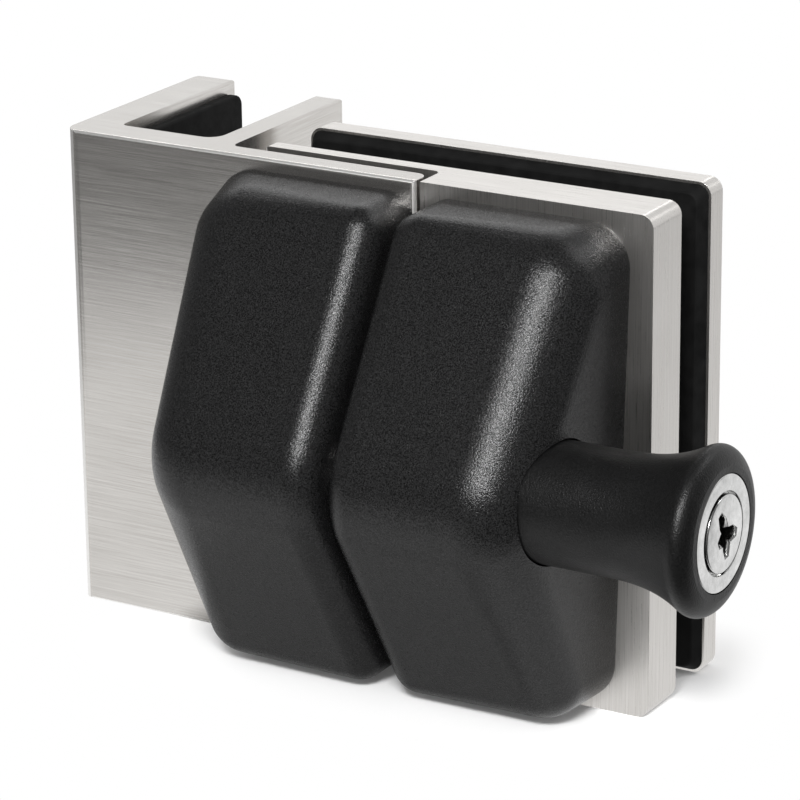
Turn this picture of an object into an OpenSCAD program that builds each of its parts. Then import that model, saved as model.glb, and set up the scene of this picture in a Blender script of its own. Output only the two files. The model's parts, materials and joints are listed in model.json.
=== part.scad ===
// Glass gate latch for a right-angled corner.
// The keep half clamps a fixed glass panel, and the latch half clamps the gate's glass panel.
// A pull knob with a key lock draws the bolt out of the keep, and a magnet in the keep draws it home.
//
// Frame: X runs from the keep half to the knob, Y runs from the front face towards the glass, Z is up.
// The origin is the fixed panel's edge: mid thickness, on the floor of its slot, at the bottom of the plates.

/* [Glass] */
// Thickness of the fixed glass panel
fixed_glass_t = 12; // [8:0.5:15]
// Thickness of the gate's glass panel
gate_glass_t = 10; // [8:0.5:13]
// Thickness of the gaskets on both sides of the fixed panel
glass_pad_t = 2.5; // [1.5:0.1:4]
// Thickness of the gasket in front of the gate's panel
front_gasket_t = 1; // [0.8:0.1:2]
// Thickness of the gasket behind the gate's panel
rear_gasket_t = 2.5; // [1.5:0.1:4]

/* [Steel plates] */
// Height of all steel plates
plate_h = 100; // [90:1:130]
// Thickness of the keep bracket's front wall at the glass slot
keep_face_t = 8; // [7:0.1:10]
// Thickness of the keep bracket's outer flange
outer_flange_t = 8.5; // [6:0.1:11]
// Thickness of the keep bracket's middle flange
mid_flange_t = 5.5; // [5:0.1:8]
// Depth of the slot for the fixed panel, along the outer flange
slot_depth = 42.5; // [40.5:0.5:50]
// Depth of the slot along the middle flange
mid_flange_l = 39.5; // [30:0.5:40]
// Length of the strike arm, from the middle flange to its free end
strike_arm_l = 44.5; // [44.2:0.1:52]
// Thickness of the strike arm
strike_arm_t = 5.2; // [4.5:0.1:5.6]
// Thickness of the loose plate that presses on the fixed panel
pressure_plate_t = 5; // [4:0.1:7]
// Play left beside the pressure plate for tightening
clamp_play = 0.5; // [0.3:0.1:1]
// Gap between the two halves when the gate is shut
parting_gap = 1; // [0.7:0.1:3]
// Width of the gate plate's thick part
gate_block_w = 49.5; // [48:0.1:58]
// Thickness of the gate plate
gate_plate_t = 11.5; // [11:0.1:14]
// Length of the thin tongue behind the strike arm
tongue_l = 40; // [36:0.1:41]
// Thickness of the tongue
tongue_t = 3.3; // [3.3:0.1:3.8]
// Thickness of the rear plate
rear_plate_t = 5; // [4.8:0.1:7]
// How far the rear plate stays inside the gate plate's ends
rear_plate_inset = 0.5; // [0:0.1:3]
// Radius of the gate plate's and rear plate's face corners
plate_corner_r = 2.7; // [2:0.1:5]
// Radius of the keep bracket's outer front corner
bracket_corner_r = 3.5; // [1:0.5:5]
// Radius of the slot's corner at the middle flange
inner_fillet_r = 3.5; // [1:0.5:4]
// Radius of the plates' other inner corners
small_fillet_r = 1.5; // [0.5:0.5:3]
// Radius of the corners at the flanges' free ends
flange_end_r = 2; // [1:0.5:4]
// Radius of the tongue's free end
tongue_end_r = 1.4; // [0.5:0.1:1.6]
// Radius of the strike arm's back corner at its free end
parting_corner_r = 2.5; // [1:0.1:2.5]
// Radius of the strike arm's front corner at its free end
strike_end_r = 1.2; // [0.5:0.1:1.5]
// Radius of the broken edges
edge_break = 0.8; // [0.3:0.1:1.2]

/* [Moulded housings] */
// Width of each housing at the top of its base
housing_top_w = 44; // [42:0.1:44.2]
// Width of each housing at the bottom of its base
housing_bottom_w = 41; // [40:0.1:42]
// How far the keep housing stays inside the strike arm's free end
keep_housing_gap = 0.3; // [0.2:0.1:1]
// How far the latch housing stays inside the gate plate's parting end
latch_housing_gap = 1; // [0.5:0.1:2]
// Steel left bare above the housings
housing_top_margin = 2.5; // [1:0.5:6]
// Steel left bare below the housings
housing_bottom_margin = 1.6; // [1:0.1:4]
// How far the housings stand out at the top
housing_top_depth = 14; // [13:0.5:18]
// How far the housings stand out at the knee
housing_knee_depth = 43.5; // [42:0.5:50]
// How far the housings stand out at the bottom
housing_bottom_depth = 15.4; // [14:0.1:22]
// Height of the knee
knee_z = 48.5; // [46:0.5:54]
// Draft of the outer side walls in degrees
side_draft = 4.5; // [3:0.1:6]
// Radius along the moulded edges on the drafted side
housing_edge_r = 12.5; // [9:0.5:13]
// Radius of the base's corners and of the bottom edge on the drafted side
base_corner_r = 8.5; // [6:0.5:9]
// Radius along the moulded edges where the two housings meet
parting_edge_r = 6; // [5:0.5:8]
// Radius of the knee between the two front faces
knee_r = 18; // [12:1:24]
// Wall of the moulded housings
housing_wall = 3; // [2.5:0.1:3.5]

/* [Knob and bolt] */
// Distance of the bolt's axis in front of the plates
axis_depth = 22; // [21:0.5:23]
// Height of the bolt's axis
axis_z = 50; // [47:0.5:53]
// How far the knob's end stands past the latch housing's base
knob_reach = 31.7; // [28:0.1:36]
// Diameter of the knob's neck
neck_d = 23.5; // [23.4:0.1:24]
// Diameter of the knob's head
head_d = 31.8; // [29:0.1:36]
// Length over which the neck flares into the head
flare_l = 19.5; // [14:0.5:22]
// Length of the head's rounded rim
rim_l = 3.3; // [2.5:0.1:5]
// Width of the head's rounded rim
rim_w = 3.5; // [2:0.1:4]
// Diameter of the bolt
bolt_d = 12; // [10:0.1:12.4]
// How far the bolt reaches into the keep housing
bolt_engagement = 8; // [6:0.1:9]
// Chamfer at the bolt's tip
bolt_chamfer = 1; // [0.5:0.1:2]
// Travel of the knob and bolt when pulled
pull_travel = 11; // [9:0.1:12]
// Length of the knob's neck that stays in its bush when pulled
neck_hold = 5; // [3:0.1:6]
// Wire of the spring that draws the bolt out of the keep
spring_wire = 1.2; // [0.8:0.1:1.4]
// Turns of the spring
spring_turns = 5; // [4:1:5]

/* [Lock] */
// Diameter of the lock's polished face
lock_face_d = 22.2; // [21:0.1:23]
// Thickness of the lock's face
lock_face_t = 2; // [1.5:0.1:3]
// Diameter of the lock's barrel
barrel_d = 19.6; // [18.4:0.1:19.8]
// Length of the lock's barrel behind its face
barrel_l = 24.2; // [20:0.1:26]
// Diameter of the turning plug
plug_d = 15.6; // [13:0.1:15.8]
// Rise of the plug's domed end
plug_dome = 0.8; // [0.4:0.1:1.2]
// Width of the keyway
keyway_w = 1.4; // [1.2:0.1:2]
// Height of the keyway
keyway_h = 9.2; // [7:0.1:10]
// Depth of the keyway
keyway_depth = 16; // [10:0.5:20]
// Thickness of the lock's cam
cam_t = 2; // [1.5:0.1:2.5]

/* [Fasteners] */
// Diameter of the screws that clamp the gate's panel
plate_screw_d = 8; // [6:0.5:8]
// Diameter of those screws' heads
plate_screw_head_d = 15; // [12:0.5:16]
// Height between those screws
plate_screw_pitch = 60; // [56:1:64]
// Depth of those screws in the gate plate
plate_screw_grip = 7.5; // [5:0.5:9]
// Distance of those screws from the gate plate's outer end
plate_screw_inset = 24.4; // [22:0.1:26]
// Diameter of the sleeves in the gate panel's holes
glass_bush_d = 14; // [13:0.5:18]
// Diameter of the screws that clamp the fixed panel
clamp_screw_d = 8; // [6:0.5:10]
// Diameter of those screws' plain points
clamp_point_d = 5; // [4:0.5:5.5]
// Height between those screws
clamp_screw_pitch = 50; // [40:1:60]
// Diameter of the housing screws
housing_screw_d = 4; // [3:0.1:4]
// Diameter of the housing screws' heads
housing_screw_head_d = 7.2; // [6.4:0.1:7.4]
// Height of the housing screws' heads
housing_screw_head_t = 2.3; // [1.8:0.1:2.4]
// Depth of the housing screws in their posts
housing_screw_grip = 8; // [6:0.5:8.5]
// Diameter of the moulded posts for the housing screws
post_d = 9; // [8:0.5:10]
// Distance of the posts from a housing's sides
post_inset_x = 9; // [8.5:0.5:10]
// Distance of the posts from a housing's top and bottom
post_inset_z = 10; // [9:0.5:11]

/* [Hidden] */

// Clearances
seat_gap = 0.05;     // round pieces that stay where they are pressed in
running_gap = 0.05;  // round pieces that slide or turn in each other
free_gap = 0.35;     // moving pieces that pass through a hole
face_gap = 0.3;      // soft pieces beside a part that moves away
cut = 1;             // overlap of a cutting tool past the face that it cuts
arc_steps = 8;       // steps of an arc in an outline
curve_steps = 14;    // steps of the knob's flare and rim
knee_steps = 4;      // steps of the arc round a housing's knee
hull_fn = 32;        // sides of the balls and rods that shape a housing
$fn = 64;

// Places along X of the keep half
slot_x0 = -fixed_glass_t / 2 - glass_pad_t;
outer_x = slot_x0 - outer_flange_t;
pressure_x0 = fixed_glass_t / 2 + glass_pad_t;
pressure_x1 = pressure_x0 + pressure_plate_t;
slot_x1 = pressure_x1 + clamp_play;
mid_x1 = slot_x1 + mid_flange_t;
keep_end_x = mid_x1 + strike_arm_l;

// Places along X of the latch half
gate_x0 = keep_end_x + parting_gap;
gate_x1 = gate_x0 + gate_block_w;
tongue_x0 = gate_x0 - tongue_l;
rear_x0 = tongue_x0 + rear_plate_inset;
rear_x1 = gate_x1 - rear_plate_inset;
keep_housing_x = keep_end_x - keep_housing_gap;
latch_housing_x = gate_x0 + latch_housing_gap;
plate_screw_x = gate_x1 - plate_screw_inset;

// Places along Y
face_y = -keep_face_t;
arm_back_y = face_y + strike_arm_t;
gate_back_y = face_y + gate_plate_t;
tongue_y0 = gate_back_y - tongue_t;
gate_glass_y0 = gate_back_y + front_gasket_t;
gate_glass_y1 = gate_glass_y0 + gate_glass_t;
rear_y0 = gate_glass_y1 + rear_gasket_t;
rear_y1 = rear_y0 + rear_plate_t;
axis_y = face_y - axis_depth;

// Soft pieces
gasket_inset = 2.6;       // bare steel above and below the gaskets of the fixed panel
gasket_end_inset = 1.4;   // bare steel past their free ends
gasket_corner_r = 2.3;
pressure_inset = 8;       // how far the pressure plate and its gasket stay below the top
rear_gasket_inset = 1.7;  // bare steel round the rear gasket
front_gasket_inset = 4;
buffer_t = tongue_y0 - arm_back_y - face_gap;
buffer_inset = 1;

// Heights of the fasteners
plate_screw_z = [plate_h / 2 - plate_screw_pitch / 2, plate_h / 2 + plate_screw_pitch / 2];
clamp_screw_z = [plate_h / 2 - clamp_screw_pitch / 2, plate_h / 2 + clamp_screw_pitch / 2];
clamp_screw_y = mid_flange_l / 2;
point_l = pressure_plate_t / 2;
socket_ratio = 0.6;       // width across the corners of a socket to its screw
socket_depth_ratio = 0.45;

// Housings
housing_z0 = housing_bottom_margin;
housing_z1 = plate_h - housing_top_margin;
draft_slope = tan(side_draft);
side_slope = (housing_top_w - housing_bottom_w) / (housing_z1 - housing_z0);
post_x = [post_inset_x, housing_bottom_w - post_inset_x];
post_z = [housing_z0 + post_inset_z, housing_z1 - post_inset_z];
head_sink = 0.2;          // how far the screw heads lie below the back of their plate
head_gap = 0.1;           // room round the screw heads
head_recess = housing_screw_head_t + head_sink;

// Places along X of the bolt, the knob and what guides them
magnet_gap = 0.5;                       // from the bolt's tip to the magnet
strike_depth = bolt_engagement + magnet_gap;
magnet_d = 15;
magnet_t = 8;
cup_wall = 1.5;
cup_d = magnet_d + 2 * seat_gap + 2 * cup_wall;
strike_play = 0.5;                      // room round the bolt in the keep
strike_hole_d = bolt_d + 2 * strike_play;
socket_wall = 3.4;
magnet_x1 = keep_housing_x - strike_depth;
magnet_x0 = magnet_x1 - magnet_t;
cup_x0 = magnet_x0 - cup_wall;
bolt_tip_x = keep_housing_x - bolt_engagement;
guide_wall = 3;
guide_d = bolt_d + 2 * guide_wall;
guide_l = 8;
guide_flange_t = 2;
guide_flange_d = guide_d + 2 * guide_flange_t;
boss_wall = 3;                          // moulded wall round the guide and the bush
guide_x1 = latch_housing_x + guide_l;
spring_x0 = guide_x1 + guide_flange_t;
housing_side_x = latch_housing_x + side_reach(axis_depth, axis_z);
bush_wall = 1.75;
bush_l = 10;
bush_cover = 5;                         // housing left outside the bush
bush_d = neck_d + 2 * running_gap + 2 * bush_wall;
bush_x1 = housing_side_x - bush_cover;
bush_x0 = bush_x1 - bush_l;
knob_x1 = latch_housing_x + side_reach(0, axis_z) + knob_reach;
knob_x0 = bush_x0 + neck_hold - pull_travel;
stud_d = 8;
stud_l = 12;
spring_play = 1.4;                      // room between the bolt and the spring
spring_d = bolt_d + 2 * spring_play + spring_wire;

// Lock, measured back from the knob's end
barrel_x0 = knob_x1 - lock_face_t - barrel_l;
tail_d = 7;
tail_l = cam_t + 2 * seat_gap;
cam_d = 17.2;
cam_w = 8;
cam_hub_d = 11;
cam_screw_d = 4;
cam_screw_l = 7;
cam_screw_head_d = 8;
cam_screw_head_t = 2.4;
lock_room_d = cam_d + 2 * free_gap;
lock_room_play = 2;
lock_room_x0 = barrel_x0 - tail_l - cam_screw_head_t - lock_room_play;
keyway_arms = [[118, 1], [205, 0.65], [278, 1], [347, 0.98]]; // degrees, and share of half the height

// Distance of a housing's drafted side from its flat side, at a depth and a height
function side_reach(depth, z) = housing_bottom_w + (z - housing_z0) * side_slope - depth * draft_slope;

// Points of an arc, from one angle to another
function arc(centre, r, a0, a1, steps = arc_steps) =
    [for (i = [0:steps]) let (a = a0 + (a1 - a0) * i / steps) centre + r * [cos(a), sin(a)]];

function unit(v) = v / norm(v);

// Centre of the circle of radius r that touches the lines b-a and b-c
function corner_centre(a, b, c, r) =
    let (u = unit(a - b), v = unit(c - b), half = acos(u * v) / 2) b + unit(u + v) * r / sin(half);

// Points that round the corner b of an outline, which may turn either way
function corner(a, b, c, r) =
    let (
        m = corner_centre(a, b, c, r),
        u = unit(a - b),
        v = unit(c - b),
        reach = norm(m - b) * cos(acos(u * v) / 2),
        p = b + u * reach - m,
        q = b + v * reach - m,
        a0 = atan2(p[1], p[0]),
        turn = atan2(q[1], q[0]) - a0,
        sweep = turn > 180 ? turn - 360 : turn < -180 ? turn + 360 : turn
    )
    arc(m, r, a0, a0 + sweep);

// Outline with each corner given as [point, radius]
function rounded(corners) =
    let (n = len(corners))
    [for (i = [0:n - 1])
        each corner(corners[(i + n - 1) % n][0], corners[i][0], corners[(i + 1) % n][0], corners[i][1])];

module rounded_rect(low, high, r) {
    polygon(rounded([[low, r], [[high[0], low[1]], r], [high, r], [[low[0], high[1]], r]]));
}

// Outline drawn in X and Z, carried along Y
module slab_y(y0, y1) {
    translate([0, y1, 0])
        rotate([90, 0, 0])
            linear_extrude(y1 - y0)
                children();
}

// Outline drawn in Y and Z, carried along X
module slab_x(x0, x1) {
    translate([x0, 0, 0])
        rotate([90, 0, 90])
            linear_extrude(x1 - x0)
                children();
}

module rod_x(x0, x1, d) {
    translate([x0, axis_y, axis_z])
        rotate([0, 90, 0])
            cylinder(h = x1 - x0, d = d);
}

module rod_y(x, z, y0, y1, d) {
    translate([x, y1, z])
        rotate([90, 0, 0])
            cylinder(h = y1 - y0, d = d);
}

// Revolved about the bolt's axis from an outline of [radius, x]
module turned_x(outline) {
    translate([0, axis_y, axis_z])
        rotate([0, 90, 0])
            rotate_extrude()
                polygon(outline);
}

module tube_x(x0, x1, outer_d, inner_d) {
    difference() {
        rod_x(x0, x1, outer_d);
        rod_x(x0 - cut, x1 + cut, inner_d);
    }
}

// Side view of the keep bracket, with a flange that reaches to end_y
module bracket_side(end_y) {
    polygon(rounded([
        [[face_y, 0], edge_break],
        [[end_y, 0], flange_end_r],
        [[end_y, plate_h], flange_end_r],
        [[face_y, plate_h], edge_break]
    ]));
}

// Steel, rubber and polymer pieces of the keep half
module keep_bracket() {
    plan = rounded([
        [[outer_x, face_y], bracket_corner_r],
        [[keep_end_x, face_y], strike_end_r],
        [[keep_end_x, arm_back_y], parting_corner_r],
        [[mid_x1, arm_back_y], small_fillet_r],
        [[mid_x1, mid_flange_l], edge_break],
        [[slot_x1, mid_flange_l], edge_break],
        [[slot_x1, 0], inner_fillet_r],
        [[slot_x0, 0], small_fillet_r],
        [[slot_x0, slot_depth], edge_break],
        [[outer_x, slot_depth], bracket_corner_r]
    ]);
    color([0.72, 0.71, 0.69])
        difference() {
            intersection() {
                linear_extrude(plate_h)
                    polygon(plan);
                union() {
                    slab_x(outer_x, cut)
                        bracket_side(slot_depth);
                    slab_x(0, keep_end_x)
                        bracket_side(mid_flange_l);
                }
            }
            housing_screw_holes(keep_housing_x, -1, arm_back_y);
            for (z = clamp_screw_z)
                translate([slot_x1 - cut, clamp_screw_y, z])
                    rotate([0, 90, 0])
                        cylinder(h = mid_flange_t + 2 * cut, d = clamp_screw_d + 2 * seat_gap);
        }
}

module outer_glass_gasket() {
    color([0.05, 0.05, 0.05])
        slab_x(slot_x0, slot_x0 + glass_pad_t)
            rounded_rect([small_fillet_r, gasket_inset],
                         [slot_depth - gasket_end_inset, plate_h - gasket_inset], gasket_corner_r);
}

module pressure_outline() {
    rounded_rect([inner_fillet_r, pressure_inset],
                 [mid_flange_l - gasket_end_inset, plate_h - pressure_inset], gasket_corner_r);
}

module inner_glass_gasket() {
    color([0.05, 0.05, 0.05])
        slab_x(pressure_x0 - glass_pad_t, pressure_x0)
            pressure_outline();
}

module pressure_plate() {
    color([0.72, 0.71, 0.69])
        difference() {
            slab_x(pressure_x0, pressure_x1)
                pressure_outline();
            for (z = clamp_screw_z)
                translate([pressure_x1 - point_l, clamp_screw_y, z])
                    rotate([0, 90, 0])
                        cylinder(h = point_l + cut, d = clamp_point_d + 2 * seat_gap);
        }
}

// Set screws through the middle flange, with plain points that carry the pressure plate
module clamp_screws() {
    body_l = clamp_play + mid_flange_t - edge_break;
    socket_l = body_l * socket_depth_ratio;
    color([0.6, 0.6, 0.6])
        for (z = clamp_screw_z)
            translate([pressure_x1, clamp_screw_y, z])
                rotate([0, 90, 0])
                    difference() {
                        union() {
                            translate([0, 0, seat_gap])
                                cylinder(h = body_l - seat_gap, d = clamp_screw_d);
                            translate([0, 0, seat_gap - point_l])
                                cylinder(h = point_l + seat_gap, d = clamp_point_d);
                        }
                        translate([0, 0, body_l - socket_l])
                            cylinder(h = socket_l + cut, d = clamp_screw_d * socket_ratio, $fn = 6);
                    }
}

// Points of a housing's side profile as [depth, height], from the bottom to the top
function housing_profile() = [
    [0, housing_z0], [housing_bottom_depth, housing_z0], [housing_knee_depth, knee_z],
    [housing_top_depth, housing_z1], [0, housing_z1]
];

// Balls of the round edges along that profile as [centre, radius]: bottom, several round the knee, and top
function edge_balls(r, bottom_r) =
    let (
        p = housing_profile(),
        bottom = corner_centre(p[0], p[1], p[2], bottom_r),
        top = corner_centre(p[2], p[3], p[4], r),
        knee = corner_centre(p[1], p[2], p[3], knee_r),
        lower = atan2(p[1][0] - p[2][0], p[2][1] - p[1][1]),
        upper = atan2(p[2][0] - p[3][0], p[3][1] - p[2][1])
    )
    concat(
        [[bottom, bottom_r]],
        [for (c = arc(knee, knee_r - r, lower, upper, knee_steps)) [c, r]],
        [[top, r]]
    );

// Ball at a place along X that rounds a housing's edge
module housing_ball(x, ball, thin) {
    translate([x, -ball[0][0], ball[0][1]])
        sphere(ball[1] - thin, $fn = hull_fn);
}

// Rounded corner of a housing's base
module housing_base(x, z, y, r) {
    translate([x, y, z])
        rotate([90, 0, 0])
            cylinder(h = cut, r = r, $fn = hull_fn);
}

// Outer form of a housing, or its hollow when it is thinned by the wall.
// It is drawn with its flat side at X = 0 and the drafted side towards +X, standing out towards -Y.
module housing_form(thin) {
    base_y = thin > 0 ? cut : 0;
    hull() {
        for (ball = edge_balls(parting_edge_r, parting_edge_r))
            housing_ball(parting_edge_r, ball, thin);
        for (ball = edge_balls(housing_edge_r, base_corner_r))
            housing_ball(side_reach(ball[0][0], ball[0][1]) - ball[1] / cos(side_draft), ball, thin);
        for (z = [housing_z0 + parting_edge_r, housing_z1 - parting_edge_r])
            housing_base(parting_edge_r, z, base_y, parting_edge_r - thin);
        for (z = [housing_z0 + base_corner_r, housing_z1 - base_corner_r])
            housing_base(side_reach(0, z) - base_corner_r, z, base_y, base_corner_r - thin);
    }
}

// A hollow moulding with screw posts; children are the parts of the hollow that stay solid
module housing_shell() {
    difference() {
        housing_form(0);
        translate([0, 0, housing_z0])
            cube([housing_top_w, housing_edge_r, housing_z1 - housing_z0]);
        difference() {
            housing_form(housing_wall);
            for (x = post_x)
                for (z = post_z)
                    translate([x, cut, z])
                        rotate([90, 0, 0])
                            cylinder(h = housing_knee_depth, d = post_d);
            children();
        }
        for (x = post_x)
            for (z = post_z)
                translate([x, cut, z])
                    rotate([90, 0, 0])
                        cylinder(h = housing_screw_grip + 2 * cut, d = housing_screw_d + 2 * seat_gap);
    }
}

// The keep housing is the latch housing's mirror image
module place_housing(x, side) {
    translate([x, face_y, 0])
        mirror([side < 0 ? 1 : 0, 0, 0])
            children();
}

module housing_screw_holes(x, side, back_y) {
    for (u = post_x)
        for (z = post_z) {
            rod_y(x + side * u, z, face_y - cut, back_y + cut, housing_screw_d + 2 * seat_gap);
            rod_y(x + side * u, z, back_y - head_recess, back_y + cut, housing_screw_head_d + 2 * head_gap);
        }
}

// Socket screws from behind a plate into a housing's posts
module housing_screws(x, side, back_y) {
    seat_y = back_y - head_recess;
    for (u = post_x)
        for (z = post_z)
            difference() {
                union() {
                    rod_y(x + side * u, z, face_y - housing_screw_grip, seat_y + seat_gap, housing_screw_d);
                    rod_y(x + side * u, z, seat_y, seat_y + housing_screw_head_t, housing_screw_head_d);
                }
                translate([x + side * u, seat_y + housing_screw_head_t + cut, z])
                    rotate([90, 0, 0])
                        cylinder(h = housing_screw_head_t * socket_ratio + cut,
                                 d = housing_screw_d * socket_ratio, $fn = 6);
            }
}

module keep_housing() {
    socket_l = keep_housing_x - cup_x0;
    color([0.07, 0.07, 0.075])
        difference() {
            place_housing(keep_housing_x, -1)
                housing_shell()
                    translate([0, -axis_depth, axis_z])
                        rotate([0, 90, 0])
                            cylinder(h = socket_l + socket_wall, d = cup_d + 2 * socket_wall);
            rod_x(cup_x0, keep_housing_x + cut, cup_d + 2 * seat_gap);
        }
}

module keep_housing_screws() {
    color([0.6, 0.6, 0.6])
        housing_screws(keep_housing_x, -1, arm_back_y);
}

// Liner of the hole that the bolt enters
module strike_bush() {
    color([0.62, 0.61, 0.6])
        tube_x(magnet_x1, keep_housing_x - seat_gap, cup_d, strike_hole_d);
}

module magnet_cup() {
    color([0.45, 0.45, 0.46])
        difference() {
            rod_x(cup_x0, magnet_x1, cup_d);
            rod_x(magnet_x0, magnet_x1 + cut, magnet_d + 2 * seat_gap);
        }
}

module keep_magnet() {
    color([0.3, 0.3, 0.31])
        rod_x(magnet_x0, magnet_x1, magnet_d);
}

// Soft stop on the back of the strike arm
module buffer_strip() {
    x0 = mid_x1 + small_fillet_r;
    x1 = keep_end_x - parting_corner_r;
    color([0.06, 0.06, 0.06])
        slab_y(arm_back_y, arm_back_y + buffer_t)
            rounded_rect([x0, buffer_inset], [x1, plate_h - buffer_inset], edge_break);
}

// Pieces that clamp the gate's glass
module gate_plate() {
    plan = rounded([
        [[gate_x0, face_y], edge_break],
        [[gate_x1, face_y], edge_break],
        [[gate_x1, gate_back_y], edge_break],
        [[tongue_x0, gate_back_y], tongue_end_r],
        [[tongue_x0, tongue_y0], tongue_end_r],
        [[gate_x0, tongue_y0], small_fillet_r]
    ]);
    face = rounded([
        [[tongue_x0, 0], tongue_end_r],
        [[gate_x1, 0], plate_corner_r],
        [[gate_x1, plate_h], plate_corner_r],
        [[tongue_x0, plate_h], tongue_end_r]
    ]);
    color([0.72, 0.71, 0.69])
        difference() {
            intersection() {
                linear_extrude(plate_h)
                    polygon(plan);
                slab_y(face_y, gate_back_y)
                    polygon(face);
            }
            housing_screw_holes(latch_housing_x, 1, gate_back_y);
            for (z = plate_screw_z)
                rod_y(plate_screw_x, z, gate_back_y - plate_screw_grip - edge_break, gate_back_y + cut,
                      plate_screw_d + 2 * seat_gap);
        }
}

module gate_gasket(y0, t, inset) {
    color([0.05, 0.05, 0.05])
        difference() {
            slab_y(y0, y0 + t)
                rounded_rect([rear_x0 + inset, inset], [rear_x1 - inset, plate_h - inset], gasket_corner_r);
            for (z = plate_screw_z)
                rod_y(plate_screw_x, z, y0 - cut, y0 + t + cut, plate_screw_d + 2 * free_gap);
        }
}

module front_gasket() {
    gate_gasket(gate_back_y, front_gasket_t, front_gasket_inset);
}

module rear_gasket() {
    gate_gasket(gate_glass_y1, rear_gasket_t, rear_gasket_inset);
}

// Cone of a countersunk head, with a gap round it, going on past the rear plate's back
module screw_head(z, gap, past) {
    head_t = (plate_screw_head_d - plate_screw_d) / 2;
    translate([plate_screw_x, rear_y1 + past, z])
        rotate([90, 0, 0])
            cylinder(h = head_t + past, d1 = plate_screw_head_d + 2 * (gap + past),
                     d2 = plate_screw_d + 2 * gap);
}

module rear_plate() {
    color([0.72, 0.71, 0.69])
        difference() {
            slab_y(rear_y0, rear_y1)
                rounded_rect([rear_x0, 0], [rear_x1, plate_h], plate_corner_r);
            for (z = plate_screw_z) {
                rod_y(plate_screw_x, z, rear_y0 - cut, rear_y1 + cut, plate_screw_d + 2 * seat_gap);
                screw_head(z, head_gap, cut);
            }
        }
}

// Countersunk screws from the rear plate, through the glass, into the gate plate
module plate_screws() {
    socket_l = rear_plate_t * socket_depth_ratio;
    color([0.6, 0.6, 0.6])
        for (z = plate_screw_z)
            difference() {
                union() {
                    rod_y(plate_screw_x, z, gate_back_y - plate_screw_grip, rear_y1 - edge_break,
                          plate_screw_d);
                    screw_head(z, 0, 0);
                }
                translate([plate_screw_x, rear_y1 + cut, z])
                    rotate([90, 0, 0])
                        cylinder(h = socket_l + cut, d = plate_screw_d * socket_ratio, $fn = 6);
            }
}

// Sleeves that keep the screws off the glass
module glass_bushes() {
    color([0.85, 0.85, 0.82])
        for (z = plate_screw_z)
            difference() {
                rod_y(plate_screw_x, z, gate_glass_y0, gate_glass_y1, glass_bush_d);
                rod_y(plate_screw_x, z, gate_glass_y0 - cut, gate_glass_y1 + cut,
                      plate_screw_d + 2 * seat_gap);
            }
}

module latch_housing() {
    guide_boss_l = guide_x1 - latch_housing_x;
    bush_boss_x = bush_x0 - latch_housing_x;
    color([0.07, 0.07, 0.075])
        difference() {
            place_housing(latch_housing_x, 1)
                housing_shell() {
                    translate([0, -axis_depth, axis_z])
                        rotate([0, 90, 0])
                            cylinder(h = guide_boss_l, d = guide_d + 2 * boss_wall);
                    translate([bush_boss_x, -axis_depth, axis_z])
                        rotate([0, 90, 0])
                            cylinder(h = housing_top_w, d = bush_d + 2 * boss_wall);
                }
            rod_x(latch_housing_x - cut, guide_x1 + cut, guide_d + 2 * seat_gap);
            rod_x(bush_x0 - cut, bush_x1, bush_d + 2 * seat_gap);
            rod_x(bush_x0, latch_housing_x + housing_top_w + cut, neck_d + 2 * free_gap);
        }
}

module latch_housing_screws() {
    color([0.6, 0.6, 0.6])
        housing_screws(latch_housing_x, 1, gate_back_y);
}

// Flanged guide of the bolt, and the fixed seat of its spring
module bolt_guide() {
    color([0.15, 0.15, 0.16])
        difference() {
            union() {
                rod_x(latch_housing_x + seat_gap, spring_x0, guide_d);
                rod_x(guide_x1, spring_x0, guide_flange_d);
            }
            rod_x(latch_housing_x - cut, spring_x0 + cut, bolt_d + 2 * running_gap);
        }
}

module knob_bush() {
    color([0.15, 0.15, 0.16])
        tube_x(bush_x0, bush_x1, bush_d, neck_d + 2 * running_gap);
}

// Pieces that move with the knob
function knob_outline() =
    let (
        neck_r = neck_d / 2,
        head_r = head_d / 2,
        rim_x = knob_x1 - rim_l,
        flare_x = rim_x - flare_l,
        flare_power = 2.8
    )
    concat(
        [[0, knob_x0], [neck_r, knob_x0]],
        [for (i = [0:curve_steps])
            let (t = i / curve_steps)
            [neck_r + (head_r - neck_r) * pow(t, flare_power), flare_x + flare_l * t]],
        [for (i = [1:curve_steps])
            let (a = 90 * i / curve_steps) [head_r - rim_w * (1 - cos(a)), rim_x + rim_l * sin(a)]],
        [[0, knob_x1]]
    );

module pull_knob() {
    color([0.06, 0.06, 0.065])
        difference() {
            turned_x(knob_outline());
            rod_x(knob_x0 - cut, knob_x0 + stud_l + seat_gap, stud_d + 2 * seat_gap);
            rod_x(lock_room_x0, barrel_x0 + cut, lock_room_d);
            rod_x(barrel_x0, knob_x1 + cut, barrel_d + 2 * seat_gap);
            rod_x(knob_x1 - lock_face_t, knob_x1 + cut, lock_face_d + 2 * seat_gap);
        }
}

module latch_bolt() {
    color([0.75, 0.75, 0.75])
        turned_x([
            [0, bolt_tip_x],
            [bolt_d / 2 - bolt_chamfer, bolt_tip_x],
            [bolt_d / 2, bolt_tip_x + bolt_chamfer],
            [bolt_d / 2, knob_x0],
            [stud_d / 2, knob_x0],
            [stud_d / 2, knob_x0 + stud_l],
            [0, knob_x0 + stud_l]
        ]);
}

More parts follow.
